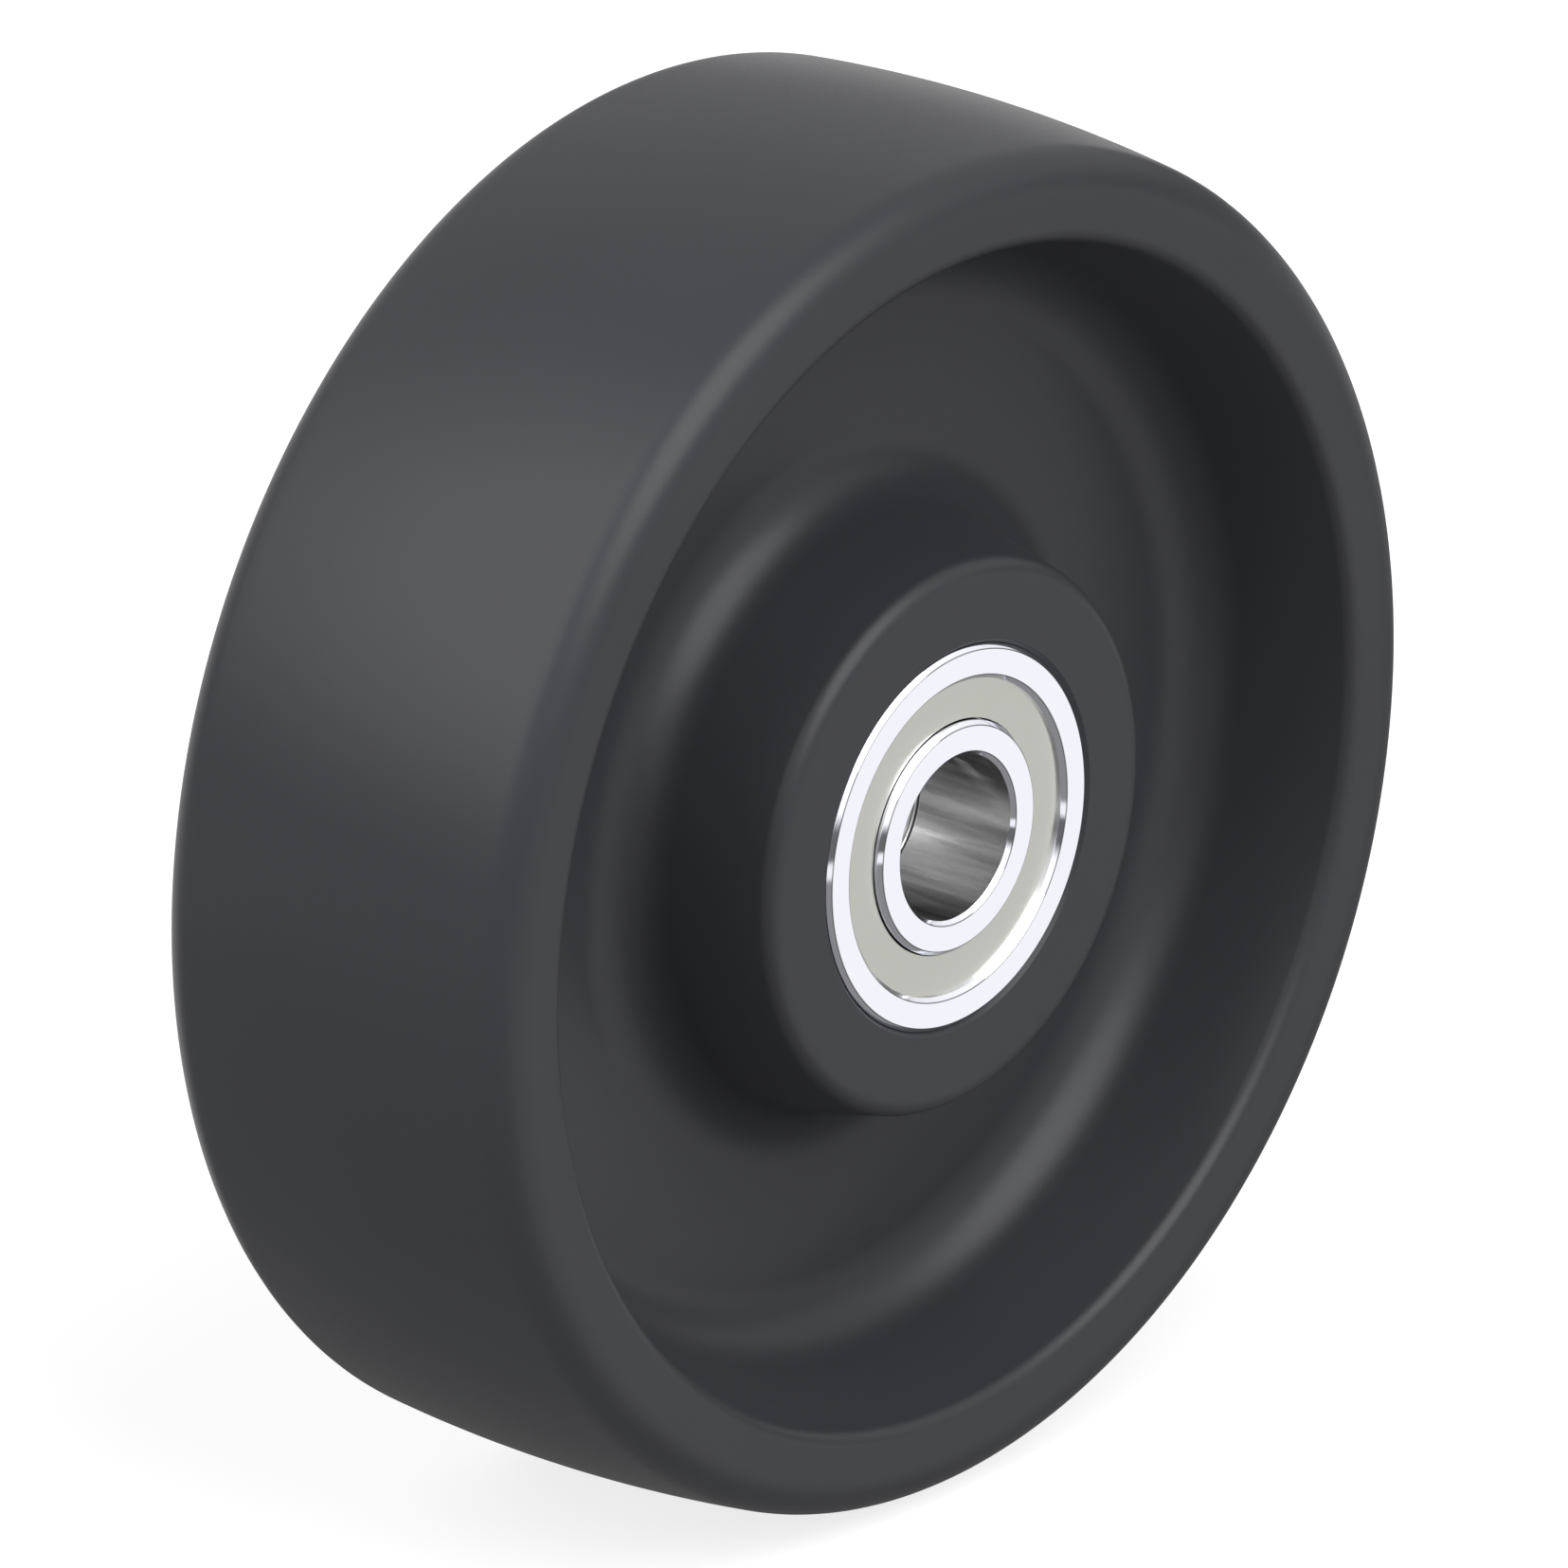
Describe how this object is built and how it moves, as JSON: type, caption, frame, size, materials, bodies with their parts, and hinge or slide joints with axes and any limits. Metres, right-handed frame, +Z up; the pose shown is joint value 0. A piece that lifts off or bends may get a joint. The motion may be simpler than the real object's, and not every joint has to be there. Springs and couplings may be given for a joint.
{
  "type": "castor wheel",
  "caption": "Plastic castor wheel with a crowned tread, a dished web and a boss that holds a shielded ball bearing at each end of its axle bore.",
  "frame": {"origin": "centre of the wheel, on the axle line midway between the two hub faces", "axes": "+Y along the axle to the rear, with the front of the wheel facing -Y; +Z up, in the plane of the wheel"},
  "size_m": [0.125, 0.04, 0.125],
  "materials": {
    "polyamide": "satin moulded plastic, dark grey",
    "ring_steel": "ground and polished bearing steel",
    "ball_steel": "polished bearing steel",
    "shield_steel": "matt pressed sheet steel",
    "cage_steel": "pressed sheet steel",
    "spacer_steel": "drawn steel tube"
  },
  "bodies": {
    "axle_stack": {"spacer_tube": "spacer_steel", "front_inner_ring": "ring_steel", "rear_inner_ring": "ring_steel"},
    "wheel": {"wheel_body": "polyamide", "front_outer_ring": "ring_steel", "front_outer_shield": "shield_steel", "front_inner_shield": "shield_steel", "rear_outer_ring": "ring_steel", "rear_outer_shield": "shield_steel", "rear_inner_shield": "shield_steel"},
    "front_cage": {"front_cage_outer_half": "cage_steel", "front_cage_inner_half": "cage_steel", "front_cage_rivets": "cage_steel"},
    "front_ball_1": {"front_ball_1": "ball_steel"},
    "front_ball_2": {"front_ball_2": "ball_steel"},
    "front_ball_3": {"front_ball_3": "ball_steel"},
    "front_ball_4": {"front_ball_4": "ball_steel"},
    "front_ball_5": {"front_ball_5": "ball_steel"},
    "front_ball_6": {"front_ball_6": "ball_steel"},
    "front_ball_7": {"front_ball_7": "ball_steel"},
    "front_ball_8": {"front_ball_8": "ball_steel"},
    "rear_cage": {"rear_cage_outer_half": "cage_steel", "rear_cage_inner_half": "cage_steel", "rear_cage_rivets": "cage_steel"},
    "rear_ball_1": {"rear_ball_1": "ball_steel"},
    "rear_ball_2": {"rear_ball_2": "ball_steel"},
    "rear_ball_3": {"rear_ball_3": "ball_steel"},
    "rear_ball_4": {"rear_ball_4": "ball_steel"},
    "rear_ball_5": {"rear_ball_5": "ball_steel"},
    "rear_ball_6": {"rear_ball_6": "ball_steel"},
    "rear_ball_7": {"rear_ball_7": "ball_steel"},
    "rear_ball_8": {"rear_ball_8": "ball_steel"}
  },
  "joints": [
    {"name": "wheel_spin", "type": "hinge", "parent": "axle_stack", "child": "wheel", "pos_m": [0, 0, 0], "axis": [0, 1, 0], "continuous": true},
    {"name": "front_cage_spin", "type": "hinge", "parent": "axle_stack", "child": "front_cage", "pos_m": [0, -0.0145, 0], "axis": [0, 1, 0], "continuous": true},
    {"name": "front_ball_1_spin", "type": "hinge", "parent": "front_cage", "child": "front_ball_1", "pos_m": [0.0125, -0.0145, 0], "axis": [0, 1, 0], "continuous": true},
    {"name": "front_ball_2_spin", "type": "hinge", "parent": "front_cage", "child": "front_ball_2", "pos_m": [0.00884, -0.0145, 0.00884], "axis": [0, 1, 0], "continuous": true},
    {"name": "front_ball_3_spin", "type": "hinge", "parent": "front_cage", "child": "front_ball_3", "pos_m": [0, -0.0145, 0.0125], "axis": [0, 1, 0], "continuous": true},
    {"name": "front_ball_4_spin", "type": "hinge", "parent": "front_cage", "child": "front_ball_4", "pos_m": [-0.00884, -0.0145, 0.00884], "axis": [0, 1, 0], "continuous": true},
    {"name": "front_ball_5_spin", "type": "hinge", "parent": "front_cage", "child": "front_ball_5", "pos_m": [-0.0125, -0.0145, 0], "axis": [0, 1, 0], "continuous": true},
    {"name": "front_ball_6_spin", "type": "hinge", "parent": "front_cage", "child": "front_ball_6", "pos_m": [-0.00884, -0.0145, -0.00884], "axis": [0, 1, 0], "continuous": true},
    {"name": "front_ball_7_spin", "type": "hinge", "parent": "front_cage", "child": "front_ball_7", "pos_m": [0, -0.0145, -0.0125], "axis": [0, 1, 0], "continuous": true},
    {"name": "front_ball_8_spin", "type": "hinge", "parent": "front_cage", "child": "front_ball_8", "pos_m": [0.00884, -0.0145, -0.00884], "axis": [0, 1, 0], "continuous": true},
    {"name": "rear_cage_spin", "type": "hinge", "parent": "axle_stack", "child": "rear_cage", "pos_m": [0, 0.0145, 0], "axis": [0, 1, 0], "continuous": true},
    {"name": "rear_ball_1_spin", "type": "hinge", "parent": "rear_cage", "child": "rear_ball_1", "pos_m": [0.0125, 0.0145, 0], "axis": [0, 1, 0], "continuous": true},
    {"name": "rear_ball_2_spin", "type": "hinge", "parent": "rear_cage", "child": "rear_ball_2", "pos_m": [0.00884, 0.0145, 0.00884], "axis": [0, 1, 0], "continuous": true},
    {"name": "rear_ball_3_spin", "type": "hinge", "parent": "rear_cage", "child": "rear_ball_3", "pos_m": [0, 0.0145, 0.0125], "axis": [0, 1, 0], "continuous": true},
    {"name": "rear_ball_4_spin", "type": "hinge", "parent": "rear_cage", "child": "rear_ball_4", "pos_m": [-0.00884, 0.0145, 0.00884], "axis": [0, 1, 0], "continuous": true},
    {"name": "rear_ball_5_spin", "type": "hinge", "parent": "rear_cage", "child": "rear_ball_5", "pos_m": [-0.0125, 0.0145, 0], "axis": [0, 1, 0], "continuous": true},
    {"name": "rear_ball_6_spin", "type": "hinge", "parent": "rear_cage", "child": "rear_ball_6", "pos_m": [-0.00884, 0.0145, -0.00884], "axis": [0, 1, 0], "continuous": true},
    {"name": "rear_ball_7_spin", "type": "hinge", "parent": "rear_cage", "child": "rear_ball_7", "pos_m": [0, 0.0145, -0.0125], "axis": [0, 1, 0], "continuous": true},
    {"name": "rear_ball_8_spin", "type": "hinge", "parent": "rear_cage", "child": "rear_ball_8", "pos_m": [0.00884, 0.0145, -0.00884], "axis": [0, 1, 0], "continuous": true}
  ],
  "couplings": [
    {"joint": "front_cage_spin", "follows": "wheel_spin", "ratio": 0.61906},
    {"joint": "front_ball_1_spin", "follows": "wheel_spin", "ratio": 1.9807},
    {"joint": "front_ball_2_spin", "follows": "wheel_spin", "ratio": 1.9807},
    {"joint": "front_ball_3_spin", "follows": "wheel_spin", "ratio": 1.9807},
    {"joint": "front_ball_4_spin", "follows": "wheel_spin", "ratio": 1.9807},
    {"joint": "front_ball_5_spin", "follows": "wheel_spin", "ratio": 1.9807},
    {"joint": "front_ball_6_spin", "follows": "wheel_spin", "ratio": 1.9807},
    {"joint": "front_ball_7_spin", "follows": "wheel_spin", "ratio": 1.9807},
    {"joint": "front_ball_8_spin", "follows": "wheel_spin", "ratio": 1.9807},
    {"joint": "rear_cage_spin", "follows": "wheel_spin", "ratio": 0.61906},
    {"joint": "rear_ball_1_spin", "follows": "wheel_spin", "ratio": 1.9807},
    {"joint": "rear_ball_2_spin", "follows": "wheel_spin", "ratio": 1.9807},
    {"joint": "rear_ball_3_spin", "follows": "wheel_spin", "ratio": 1.9807},
    {"joint": "rear_ball_4_spin", "follows": "wheel_spin", "ratio": 1.9807},
    {"joint": "rear_ball_5_spin", "follows": "wheel_spin", "ratio": 1.9807},
    {"joint": "rear_ball_6_spin", "follows": "wheel_spin", "ratio": 1.9807},
    {"joint": "rear_ball_7_spin", "follows": "wheel_spin", "ratio": 1.9807},
    {"joint": "rear_ball_8_spin", "follows": "wheel_spin", "ratio": 1.9807}
  ]
}
